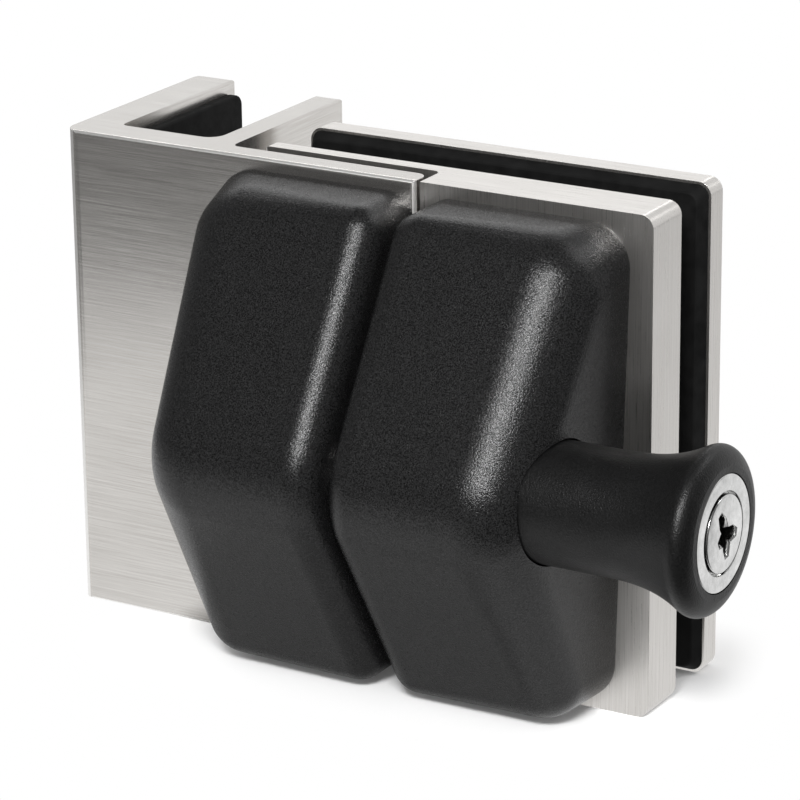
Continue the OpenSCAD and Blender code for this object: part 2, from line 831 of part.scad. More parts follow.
// Coil spring between the guide's flange and the knob's inner end
module retract_spring() {
    sides = 6;
    turn_steps = 18;
    steps = spring_turns * turn_steps;
    run_x0 = spring_x0 + spring_wire / 2 + seat_gap;
    run_l = knob_x0 - spring_x0 - spring_wire - 2 * seat_gap;
    wire_r = spring_wire / 2;
    points = [
        for (i = [0:steps])
            for (j = [0:sides - 1])
                let (a = 360 * i / turn_steps, b = 360 * j / sides, r = spring_d / 2 + wire_r * cos(b))
                [run_x0 + run_l * i / steps + wire_r * sin(b), axis_y + r * sin(a), axis_z + r * cos(a)]
    ];
    walls = [
        for (i = [0:steps - 1])
            for (j = [0:sides - 1])
                let (k = (j + 1) % sides)
                [i * sides + j, (i + 1) * sides + j, (i + 1) * sides + k, i * sides + k]
    ];
    ends = [[for (j = [0:sides - 1]) j], [for (j = [sides - 1:-1:0]) steps * sides + j]];
    color([0.55, 0.55, 0.56])
        polyhedron(points, concat(walls, ends));
}

module lock_body() {
    color([0.85, 0.85, 0.86])
        difference() {
            union() {
                rod_x(knob_x1 - lock_face_t, knob_x1, lock_face_d);
                rod_x(barrel_x0, knob_x1 - lock_face_t, barrel_d);
            }
            rod_x(barrel_x0 - cut, knob_x1 + cut, plug_d + 2 * running_gap);
        }
}

// Pieces that turn with the key
module key_plug() {
    r = plug_d / 2;
    tail_x0 = barrel_x0 - tail_l;
    dome = [
        for (i = [0:arc_steps])
            let (t = i / arc_steps)
            [r * (1 - t), knob_x1 + plug_dome * (1 - pow(1 - t, 2))]
    ];
    color([0.85, 0.85, 0.86])
        difference() {
            turned_x(concat(
                [[0, tail_x0], [tail_d / 2, tail_x0], [tail_d / 2, barrel_x0], [r, barrel_x0]],
                dome
            ));
            rod_x(tail_x0 - cut, tail_x0 + cam_screw_l, cam_screw_d + 2 * seat_gap);
            translate([knob_x1 + plug_dome - keyway_depth, axis_y, axis_z])
                for (arm = keyway_arms)
                    rotate([arm[0], 0, 0])
                        translate([0, -keyway_w / 2, -keyway_w / 2])
                            cube([keyway_depth + cut, keyway_w / 2 + keyway_h / 2 * arm[1], keyway_w]);
        }
}

// Cam on the plug's tail, inside the knob's neck
module lock_cam() {
    x0 = barrel_x0 - cam_t - seat_gap;
    x1 = barrel_x0 - seat_gap;
    color([0.7, 0.66, 0.5])
        difference() {
            union() {
                rod_x(x0, x1, cam_hub_d);
                intersection() {
                    rod_x(x0, x1, cam_d);
                    translate([x0, axis_y - cam_w / 2, axis_z])
                        cube([cam_t, cam_w, cam_d]);
                }
            }
            rod_x(x0 - cut, x1 + cut, tail_d + 2 * seat_gap);
        }
}

module cam_screw() {
    seat_x = barrel_x0 - tail_l;
    color([0.6, 0.6, 0.6])
        union() {
            rod_x(seat_x - cam_screw_head_t, seat_x, cam_screw_head_d);
            rod_x(seat_x - seat_gap, seat_x + cam_screw_l - seat_gap, cam_screw_d);
        }
}

keep_bracket();
outer_glass_gasket();
inner_glass_gasket();
pressure_plate();
clamp_screws();
keep_housing();
keep_housing_screws();
strike_bush();
magnet_cup();
keep_magnet();
buffer_strip();
gate_plate();
front_gasket();
rear_gasket();
rear_plate();
plate_screws();
glass_bushes();
latch_housing();
latch_housing_screws();
bolt_guide();
knob_bush();
pull_knob();
latch_bolt();
retract_spring();
lock_body();
key_plug();
lock_cam();
cam_screw();
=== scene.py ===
"""Looks of the glass gate latch: moulded housings, knob, lock face, brushed plates and a plain studio."""
import json
import math

import bmesh
import bpy
from mathutils import Matrix, Vector


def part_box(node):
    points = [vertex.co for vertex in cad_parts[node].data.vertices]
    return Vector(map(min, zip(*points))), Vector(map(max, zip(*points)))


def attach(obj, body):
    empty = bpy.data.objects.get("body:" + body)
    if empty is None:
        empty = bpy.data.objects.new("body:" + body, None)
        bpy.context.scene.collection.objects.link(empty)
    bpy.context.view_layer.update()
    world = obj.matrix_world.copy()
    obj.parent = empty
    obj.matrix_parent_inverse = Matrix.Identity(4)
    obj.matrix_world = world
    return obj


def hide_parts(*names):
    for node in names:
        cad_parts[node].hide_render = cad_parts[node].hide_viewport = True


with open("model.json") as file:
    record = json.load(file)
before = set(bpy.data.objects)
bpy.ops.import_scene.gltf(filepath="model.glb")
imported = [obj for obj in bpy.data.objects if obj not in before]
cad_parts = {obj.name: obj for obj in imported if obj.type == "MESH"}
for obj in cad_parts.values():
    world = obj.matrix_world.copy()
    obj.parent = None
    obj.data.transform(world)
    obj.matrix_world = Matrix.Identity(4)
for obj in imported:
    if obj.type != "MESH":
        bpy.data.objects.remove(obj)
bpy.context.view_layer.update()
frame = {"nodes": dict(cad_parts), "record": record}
nodes = frame["nodes"]
scene = bpy.context.scene
MM = 0.001

# Sizes in millimetres, most of them as in the part's source
FACE_Y = -8.0
AXIS_Y, AXIS_Z = -30.0, 50.0
KEEP_HOUSING_X, LATCH_HOUSING_X = 63.7, 66.0
HOUSING_Z0, HOUSING_Z1 = 1.6, 97.5
HOUSING_TOP_W, HOUSING_BOTTOM_W = 44.0, 41.0
TOP_DEPTH, KNEE_DEPTH, BOTTOM_DEPTH, KNEE_Z = 14.0, 43.5, 15.4, 48.5
SIDE_DRAFT = math.radians(4.5)
EDGE_R, BASE_R, PARTING_R, KNEE_R, WALL = 12.5, 8.5, 6.0, 18.0, 3.0
POST_X, POST_Z, POST_D = (9.0, 32.0), (11.6, 87.5), 9.0
SCREW_D, SCREW_GRIP = 4.1, 8.0
CUP_X0, CUP_D, CUP_WALL = 45.7, 18.2, 3.4
GUIDE_X1, GUIDE_D, BOSS_WALL = 74.0, 18.1, 3.0
NECK_D, NECK_PLAY, NECK_EDGE, HEAD_D, HEAD_SPARE = 23.5, 0.7, 0.6, 31.8, 0.35
FLARE_L, FLARE_POWER, RIM_L, RIM_W = 19.5, 2.8, 3.3, 3.5
BUSH_D, BUSH_COVER, BUSH_L = 27.1, 5.0, 10.0
LOCK_FACE_D, LOCK_FACE_T, BARREL_D, PLUG_D = 22.2, 2.0, 19.6, 15.6
PLUG_RISE, PLUG_GAP, PLUG_EDGE, PLUG_CROWN, PLUG_GROOVE = 0.5, 0.5, 0.25, 0.25, 1.6
TAIL_D, TAIL_L, TAIL_HOLE_D, TAIL_HOLE_L = 7.0, 2.1, 4.1, 4.9
CAM_T, CAM_PLAY, CAM_ROOM_D = 2.4, 2.0, 17.9
BOLT_SEAT_D, BOLT_SEAT_L = 8.1, 12.05
KEYWAY_ARMS = ((118, 4.6), (205, 3.0), (278, 4.6), (347, 4.5))  # turn in degrees, reach
KEYWAY_HUB, KEYWAY_BELLY, KEYWAY_TIP, KEYWAY_PAST_AXIS, KEYWAY_L = 0.9, 1.25, 0.5, 0.6, 16.0
KEYWAY_LEAD, LEAD_START, LEAD_END, CUTTER_RISE = 0.3, 0.2, 0.9, 0.5
FACE_EDGE, FACE_EDGE_MID, MOUTH_EDGE, MOUTH_EDGE_MID, MOUTH_EDGE_L = 0.35, 0.12, 0.25, 0.08, 0.3
SEAT_GAP = 0.05
GATE_X0, GATE_X1, GATE_BACK_Y, PLATE_H, PLATE_R = 65.0, 114.5, 3.5, 100.0, 2.7
TONGUE_X0, TONGUE_Y0, TONGUE_R, INNER_R = 25.0, 0.2, 1.4, 1.5
PLATE_SCREW_X, PLATE_SCREW_Z, PLATE_SCREW_D, PLATE_SCREW_GRIP = 90.1, (20.0, 80.0), 8.1, 8.3
SCREW_HEAD_D, SCREW_HEAD_T = 7.6, 2.6


# Meshes

def new_object(name, bm, scale=MM):
    """Object of a bmesh drawn in millimetres."""
    bmesh.ops.scale(bm, vec=(scale, scale, scale), verts=bm.verts)
    bmesh.ops.recalc_face_normals(bm, faces=bm.faces)
    mesh = bpy.data.meshes.new(name)
    bm.to_mesh(mesh)
    bm.free()
    obj = bpy.data.objects.new(name, mesh)
    scene.collection.objects.link(obj)
    return obj


def boolean(obj, tool, operation):
    """Applies a boolean with another object, which goes away."""
    modifier = obj.modifiers.new("boolean", "BOOLEAN")
    modifier.operation = operation
    modifier.solver = "EXACT"
    modifier.object = tool
    graph = bpy.context.evaluated_depsgraph_get()
    mesh = bpy.data.meshes.new_from_object(obj.evaluated_get(graph))
    obj.modifiers.clear()
    old = obj.data
    obj.data = mesh
    bpy.data.meshes.remove(old)
    old = tool.data
    bpy.data.objects.remove(tool)
    bpy.data.meshes.remove(old)


def rod(name, start, end, diameter, segments=96):
    """Closed cylinder between two points, in millimetres."""
    start, end = Vector(start), Vector(end)
    axis = end - start
    bm = bmesh.new()
    turn = axis.to_track_quat("Z", "Y").to_matrix().to_4x4()
    bmesh.ops.create_cone(bm, cap_ends=True, segments=segments, radius1=diameter / 2, radius2=diameter / 2,
                          depth=axis.length, matrix=Matrix.Translation((start + end) / 2) @ turn)
    return new_object(name, bm)


def rod_x(name, x0, x1, diameter):
    """Closed cylinder on the bolt's axis."""
    return rod(name, (x0, AXIS_Y, AXIS_Z), (x1, AXIS_Y, AXIS_Z), diameter)


def smooth(obj, sharp_deg=32, weighted=True):
    """Smooth shading with sharp creases, and flat faces that stay flat."""
    for polygon in obj.data.polygons:
        polygon.use_smooth = True
    obj.data.set_sharp_from_angle(angle=math.radians(sharp_deg))
    if weighted:
        modifier = obj.modifiers.new("weighted", "WEIGHTED_NORMAL")
        modifier.keep_sharp = True
        modifier.weight = 60
    return obj


def unit(v):
    """Direction of a plane vector."""
    n = math.hypot(*v)
    return (v[0] / n, v[1] / n)


def corner_centre(a, b, c, r):
    """Centre of the arc that rounds corner b of an outline."""
    u, v = unit((a[0] - b[0], a[1] - b[1])), unit((c[0] - b[0], c[1] - b[1]))
    half = math.acos(u[0] * v[0] + u[1] * v[1]) / 2
    m = unit((u[0] + v[0], u[1] + v[1]))
    return (b[0] + m[0] * r / math.sin(half), b[1] + m[1] * r / math.sin(half))


def round_corner(a, b, c, r, steps=8):
    """Points of the arc that rounds corner b of an outline."""
    m = corner_centre(a, b, c, r)
    u, v = unit((a[0] - b[0], a[1] - b[1])), unit((c[0] - b[0], c[1] - b[1]))
    half = math.acos(u[0] * v[0] + u[1] * v[1]) / 2
    reach = r / math.tan(half)
    a0 = math.atan2(b[1] + u[1] * reach - m[1], b[0] + u[0] * reach - m[0])
    turn = math.atan2(b[1] + v[1] * reach - m[1], b[0] + v[0] * reach - m[0]) - a0
    turn = (turn + math.pi) % (2 * math.pi) - math.pi
    return [(m[0] + r * math.cos(a0 + turn * i / steps), m[1] + r * math.sin(a0 + turn * i / steps))
            for i in range(steps + 1)]


def lathe(name, profile, segments=160):
    """Solid turned about the bolt's axis from (radius, x) points that end on the axis or where they start."""
    bm = bmesh.new()
    rings = []
    for r, x in profile:
        if r < 1e-6:
            rings.append([bm.verts.new((x, AXIS_Y, AXIS_Z))])
            continue
        rings.append([bm.verts.new((x, AXIS_Y + r * math.cos(a), AXIS_Z + r * math.sin(a)))
                      for a in (2 * math.pi * i / segments for i in range(segments))])
    for low, high in zip(rings, rings[1:]):
        for i in range(segments):
            j = (i + 1) % segments
            quad = [low[i % len(low)], low[j % len(low)], high[j % len(high)], high[i % len(high)]]
            face = list(dict.fromkeys(quad))
            if len(face) > 2:
                bm.faces.new(face)
    return new_object(name, bm)


# Housings

PROFILE = [(0, HOUSING_Z0), (BOTTOM_DEPTH, HOUSING_Z0), (KNEE_DEPTH, KNEE_Z), (TOP_DEPTH, HOUSING_Z1),
           (0, HOUSING_Z1)]
SIDE_SLOPE = (HOUSING_TOP_W - HOUSING_BOTTOM_W) / (HOUSING_Z1 - HOUSING_Z0)


def side_reach(depth, z):
    """How far a housing reaches sideways at a depth and a height."""
    return HOUSING_BOTTOM_W + (z - HOUSING_Z0) * SIDE_SLOPE - depth * math.tan(SIDE_DRAFT)


def edge_balls(r, bottom_r, knee_steps=14):
    """Balls of the round edges along a housing's side profile, as (depth, height, radius)."""
    p = PROFILE
    knee = corner_centre(p[1], p[2], p[3], KNEE_R)
    lower = math.atan2(p[1][0] - p[2][0], p[2][1] - p[1][1])
    upper = math.atan2(p[2][0] - p[3][0], p[3][1] - p[2][1])
    turn = [lower + (upper - lower) * i / knee_steps for i in range(knee_steps + 1)]
    arc = [(knee[0] + (KNEE_R - r) * math.cos(a), knee[1] + (KNEE_R - r) * math.sin(a), r) for a in turn]
    bottom = (*corner_centre(p[0], p[1], p[2], bottom_r), bottom_r)
    top = (*corner_centre(p[2], p[3], p[4], r), r)
    return [bottom, *arc, top]


def housing_hull(name, thin, step=5):
    """Outer form of a housing, or its hollow when it is thinned by the wall, with its flat side at x = 0."""
    bm = bmesh.new()
    turns = [math.radians(a) for a in range(0, 360, step)]
    slopes = [math.radians(a) for a in range(0, 91, step)]
    base_y = 1.0 if thin else 0.0
    for edge_r, base_r, way in ((PARTING_R, PARTING_R, -1), (EDGE_R, BASE_R, 1)):
        for depth, z, r in edge_balls(edge_r, base_r):
            x = r if way < 0 else side_reach(depth, z) - r / math.cos(SIDE_DRAFT)
            for s in slopes:
                for a in turns if s < math.radians(89.9) else turns[:1]:
                    bm.verts.new((x + way * (r - thin) * math.sin(s),
                                  -depth + (r - thin) * math.cos(s) * math.cos(a),
                                  z + (r - thin) * math.cos(s) * math.sin(a)))
        for z in (HOUSING_Z0 + base_r, HOUSING_Z1 - base_r):
            x = base_r if way < 0 else side_reach(0, z) - base_r
            for a in turns:
                for y in (base_y, base_y - 1):
                    bm.verts.new((x + (base_r - thin) * math.cos(a), y, z + (base_r - thin) * math.sin(a)))
    hull = bmesh.ops.convex_hull(bm, input=bm.verts)
    bmesh.ops.delete(bm, geom=[v for v in set(hull["geom_interior"] + hull["geom_unused"])
                               if isinstance(v, bmesh.types.BMVert)], context="VERTS")
    if not thin:
        cut = bmesh.ops.bisect_plane(bm, geom=bm.verts[:] + bm.edges[:] + bm.faces[:], plane_co=(0, 0, 0),
                                     plane_no=(0, 1, 0), clear_outer=True)
        base_edges = [e for e in cut["geom_cut"] if isinstance(e, bmesh.types.BMEdge)]
        bmesh.ops.contextual_create(bm, geom=base_edges)
    bmesh.ops.dissolve_limit(bm, angle_limit=math.radians(0.4), verts=bm.verts, edges=bm.edges)
    return new_object(name, bm)


def place_housing(obj, x, side):
    """Sets a housing on the plates' face, with its flat side at x, mirrored for side -1."""
    obj.data.transform(Matrix.Translation((x * MM, FACE_Y * MM, 0)) @ Matrix.Diagonal((side, 1, 1, 1)))
    if side < 0:
        obj.data.flip_normals()


def housing(name, x, side, bosses, bores):
    """Hollow moulding with screw posts, bosses that stay solid in the hollow, and bores."""
    body = housing_hull(name, 0)
    hollow = housing_hull("hollow", WALL, step=9)
    place_housing(body, x, side)
    place_housing(hollow, x, side)
    for px in POST_X:
        for pz in POST_Z:
            post = rod("post", (x + side * px, FACE_Y + 2, pz), (x + side * px, FACE_Y - 50, pz), POST_D, 48)
            boolean(hollow, post, "DIFFERENCE")
    for x0, x1, d in bosses:
        boolean(hollow, rod_x("boss", x0, x1, d), "DIFFERENCE")
    boolean(body, hollow, "DIFFERENCE")
    for px in POST_X:
        for pz in POST_Z:
            boolean(body, rod("screw", (x + side * px, FACE_Y + 2, pz),
                              (x + side * px, FACE_Y - SCREW_GRIP - 1, pz), SCREW_D, 48), "DIFFERENCE")
    for x0, x1, d in bores:
        boolean(body, rod_x("bore", x0, x1, d), "DIFFERENCE")
    return smooth(body)


side_x = LATCH_HOUSING_X + side_reach(FACE_Y - AXIS_Y, AXIS_Z)
bush_x1 = side_x - BUSH_COVER
bush_x0 = bush_x1 - BUSH_L
keep_housing = housing(
    "keep_housing_moulding", KEEP_HOUSING_X, -1,
    [(CUP_X0 - CUP_WALL, KEEP_HOUSING_X + 1, CUP_D + 2 * CUP_WALL)],
    [(CUP_X0, KEEP_HOUSING_X + 1, CUP_D)])
latch_housing = housing(
    "latch_housing_moulding", LATCH_HOUSING_X, 1,
    [(LATCH_HOUSING_X - 1, GUIDE_X1, GUIDE_D + 2 * BOSS_WALL),
     (bush_x0, LATCH_HOUSING_X + HOUSING_TOP_W, BUSH_D + 2 * BOSS_WALL)],
    [(LATCH_HOUSING_X - 1, GUIDE_X1 + 1, GUIDE_D), (bush_x0 - 1, bush_x1, BUSH_D + 2 * SEAT_GAP),
     (bush_x0, LATCH_HOUSING_X + HOUSING_TOP_W + 1, NECK_D + NECK_PLAY)])


# Knob and lock

def eased(points, spacing=0.12, passes=130):
    """Line of even steps through the points, with its corners eased; both ends stay."""
    line = [points[0]]
    for a, b in zip(points, points[1:]):
        steps = max(1, round(math.dist(a, b) / spacing))
        line += [(a[0] + (b[0] - a[0]) * k / steps, a[1] + (b[1] - a[1]) * k / steps)
                 for k in range(1, steps + 1)]
    for _ in range(passes):
        line = line[:1] + [((a[0] + 2 * b[0] + c[0]) / 4, (a[1] + 2 * b[1] + c[1]) / 4)
                           for a, b, c in zip(line, line[1:], line[2:])] + line[-1:]
    return line[::3] + line[-1:]


low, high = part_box("pull_knob")
knob_x0, knob_x1 = low.x / MM, high.x / MM
rim_x = knob_x1 - RIM_L
flare = [(NECK_D / 2 + (HEAD_D - NECK_D) / 2 * (i / 40) ** FLARE_POWER, rim_x - FLARE_L * (1 - i / 40))
         for i in range(41)]
rim = [(HEAD_D / 2 - RIM_W * (1 - math.cos(a)), rim_x + RIM_L * math.sin(a))
       for a in (math.radians(90 * i / 24) for i in range(1, 25))]
outer = eased([(r + HEAD_SPARE * (r - NECK_D / 2) / (HEAD_D - NECK_D) * 2, x) for r, x in flare + rim])
lock_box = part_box("lock_body")
barrel_x0 = lock_box[0].x / MM
room_x0 = barrel_x0 - TAIL_L - CAM_T - CAM_PLAY
knob = lathe("knob_moulding", [
    (0, knob_x0 + BOLT_SEAT_L), (BOLT_SEAT_D / 2, knob_x0 + BOLT_SEAT_L), (BOLT_SEAT_D / 2, knob_x0),
    (NECK_D / 2 - NECK_EDGE, knob_x0), (NECK_D / 2, knob_x0 + NECK_EDGE),
    *outer,
    (LOCK_FACE_D / 2 + SEAT_GAP, knob_x1), (LOCK_FACE_D / 2 + SEAT_GAP, knob_x1 - LOCK_FACE_T),
    (BARREL_D / 2 + SEAT_GAP, knob_x1 - LOCK_FACE_T), (BARREL_D / 2 + SEAT_GAP, barrel_x0),
    (CAM_ROOM_D / 2, barrel_x0), (CAM_ROOM_D / 2, room_x0), (0, room_x0)])
smooth(knob, 40)

face_r, plug_r = LOCK_FACE_D / 2, PLUG_D / 2 + SEAT_GAP
lock_face = lathe("lock_face", [
    (plug_r, barrel_x0), (BARREL_D / 2, barrel_x0), (BARREL_D / 2, knob_x1 - LOCK_FACE_T),
    (face_r, knob_x1 - LOCK_FACE_T), (face_r, knob_x1 - FACE_EDGE),
    (face_r - FACE_EDGE_MID, knob_x1 - FACE_EDGE_MID), (face_r - FACE_EDGE, knob_x1),
    (plug_r + MOUTH_EDGE, knob_x1), (plug_r + MOUTH_EDGE_MID, knob_x1 - MOUTH_EDGE_MID),
    (plug_r, knob_x1 - MOUTH_EDGE_L), (plug_r, barrel_x0)])
smooth(lock_face, 40)

plug_end = knob_x1 + PLUG_RISE
crown_r = PLUG_D / 2 - PLUG_GAP
dome = [(PLUG_D / 2, knob_x1 - PLUG_GROOVE), (crown_r, knob_x1 - PLUG_GROOVE)]
dome += [(crown_r - PLUG_EDGE * (1 - math.cos(a)), plug_end - PLUG_CROWN - PLUG_EDGE * (1 - math.sin(a)))
         for a in (math.radians(90 * i / 8) for i in range(9))]
dome += [((crown_r - PLUG_EDGE) * (1 - i / 12), plug_end - PLUG_CROWN * (1 - i / 12) ** 2)
         for i in range(1, 12)]
plug = lathe("plug_dome", [
    (0, barrel_x0 - TAIL_L), (TAIL_D / 2, barrel_x0 - TAIL_L), (TAIL_D / 2, barrel_x0),
    (PLUG_D / 2, barrel_x0), *dome, (0, plug_end)])


def keyway_arm(turn, reach):
    """Cutter of one arm of the keyway, wider at the plug's face."""
    bm = bmesh.new()
    outward = Vector((0, math.cos(math.radians(turn)), math.sin(math.radians(turn))))
    across = Vector((0, -outward.z, outward.y))
    axis = Vector((0, AXIS_Y, AXIS_Z))
    side = [(-KEYWAY_PAST_AXIS, KEYWAY_HUB), (0.5 * reach, KEYWAY_BELLY), (reach, KEYWAY_TIP)]
    outline = [(u, -v) for u, v in side] + side[::-1]
    rings = []
    for x, grow in ((plug_end + CUTTER_RISE, KEYWAY_LEAD), (plug_end - LEAD_START, KEYWAY_LEAD),
                    (plug_end - LEAD_END, 0.0), (plug_end - KEYWAY_L, 0.0)):
        rings.append([bm.verts.new(axis + Vector((x, 0, 0)) + outward * (u + math.copysign(grow, u))
                                   + across * (v + math.copysign(grow, v))) for u, v in outline])
    bm.faces.new(rings[0])
    bm.faces.new(list(reversed(rings[-1])))
    count = len(outline)
    for a, b in zip(rings, rings[1:]):
        for i in range(count):
            j = (i + 1) % count
            bm.faces.new((a[i], a[j], b[j], b[i]))
    return new_object("keyway_arm", bm)


for arm_turn, arm_reach in KEYWAY_ARMS:
    boolean(plug, keyway_arm(arm_turn, arm_reach), "DIFFERENCE")
boolean(plug, rod_x("tail_hole", barrel_x0 - 4, barrel_x0 + TAIL_HOLE_L, TAIL_HOLE_D), "DIFFERENCE")
smooth(plug, 30)


# Plates and gaskets

def prism(name, outline, place, start, end):
    """Solid between two levels of an outline; place turns its points and a level into x, y, z."""
    bm = bmesh.new()
    low, high = [[bm.verts.new(place(u, v, w)) for u, v in outline] for w in (start, end)]
    bm.faces.new(low)
    bm.faces.new(list(reversed(high)))
    for i in range(len(outline)):
        j = (i + 1) % len(outline)
        bm.faces.new((low[i], low[j], high[j], high[i]))
    return new_object(name, bm)


def rounded(corners, steps=10):
    """Outline with the corners, given as (point, radius), rounded."""
    points = []
    for i, (point, r) in enumerate(corners):
        if r:
            points += round_corner(corners[i - 1][0], point, corners[(i + 1) % len(corners)][0], r, steps)
        else:
            points.append(point)
    return points


def break_edges(obj, width, segments=3):
    """Small round on all sharp edges."""
    modifier = obj.modifiers.new("bevel", "BEVEL")
    modifier.width = width * MM
    modifier.segments = segments
    modifier.limit_method = "ANGLE"
    modifier.angle_limit = math.radians(40)
    modifier.use_clamp_overlap = True
    return smooth(obj)


def broken_edges(node, name, width, segments=3, flare=0.0):
    """Copy of a CAD node with finely broken edges; flare widens its outer wall towards the back."""
    bm = bmesh.new()
    bm.from_mesh(nodes[node].data)
    bmesh.ops.remove_doubles(bm, verts=bm.verts, dist=2e-6)
    bmesh.ops.dissolve_limit(bm, angle_limit=math.radians(0.5), verts=bm.verts, edges=bm.edges)
    if flare:
        low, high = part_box(node)
        middle, half = (low + high) / 2, (high - low) / 2
        for v in bm.verts:
            for axis in (0, 2):
                reach = v.co[axis] - middle[axis]
                if v.co.y > middle.y and half[axis] - abs(reach) < 3 * MM:
                    v.co[axis] += math.copysign(flare * MM, reach)
    return break_edges(new_object(name, bm, 1.0), width, segments)


def gate_plate(name):
    """Gate plate from its plan and its face, with the screws' holes."""
    spare = 5.0
    plate = prism(name, rounded([
        ((GATE_X0, FACE_Y), 0), ((GATE_X1 + spare, FACE_Y), 0), ((GATE_X1 + spare, GATE_BACK_Y), 0),
        ((TONGUE_X0, GATE_BACK_Y), TONGUE_R), ((TONGUE_X0, TONGUE_Y0), TONGUE_R),
        ((GATE_X0, TONGUE_Y0), INNER_R)]),
        lambda x, y, z: (x, y, z), -spare, PLATE_H + spare)
    face = prism("face", rounded([
        ((TONGUE_X0, 0), TONGUE_R), ((GATE_X1, 0), PLATE_R), ((GATE_X1, PLATE_H), PLATE_R),
        ((TONGUE_X0, PLATE_H), TONGUE_R)]),
        lambda x, z, y: (x, y, z), FACE_Y - spare, GATE_BACK_Y + spare)
    boolean(plate, face, "INTERSECT")
    for px in POST_X:
        for z in POST_Z:
            x = LATCH_HOUSING_X + px
            shank = rod("screw", (x, FACE_Y - 1, z), (x, GATE_BACK_Y + 1, z), SCREW_D, 48)
            boolean(plate, shank, "DIFFERENCE")
            head = rod("head", (x, GATE_BACK_Y - SCREW_HEAD_T, z), (x, GATE_BACK_Y + 1, z), SCREW_HEAD_D, 48)
            boolean(plate, head, "DIFFERENCE")
    for z in PLATE_SCREW_Z:
        boolean(plate, rod("clamp", (PLATE_SCREW_X, GATE_BACK_Y - PLATE_SCREW_GRIP, z),
                           (PLATE_SCREW_X, GATE_BACK_Y + 1, z), PLATE_SCREW_D, 48), "DIFFERENCE")
    return break_edges(plate, 0.8)


keep_steel = broken_edges("keep_bracket", "keep_bracket_steel", 0.8)
gate_steel = gate_plate("gate_plate_steel")
rear_steel = broken_edges("rear_plate", "rear_plate_steel", 0.6)
pressure_steel = broken_edges("pressure_plate", "pressure_plate_steel", 0.4)
outer_pad = broken_edges("outer_glass_gasket", "outer_gasket_rubber", 0.6)
inner_pad = broken_edges("inner_glass_gasket", "inner_gasket_rubber", 0.5)
front_pad = broken_edges("front_gasket", "front_gasket_rubber", 0.25)
rear_pad = broken_edges("rear_gasket", "rear_gasket_rubber", 0.5, flare=1.3)
buffer_pad = broken_edges("buffer_strip", "buffer_rubber", 0.4)


# Materials

ALONG, ACROSS = 60.0, 5200.0
# Broken steel edges: the slopes that find them, how much rougher they are, and the colour of the highlight
# painted on them
EDGE_SLOPES, EDGE_ROUGHER, EDGE_HIGHLIGHT_PAINT = (0.35, 0.9), 0.25, (0.93, 0.92, 0.9)
SMEAR_AXIS = (0.0, 0.3, 1.0)
HAZE_ROUGH, HAZE_SHARE = 0.55, 0.13


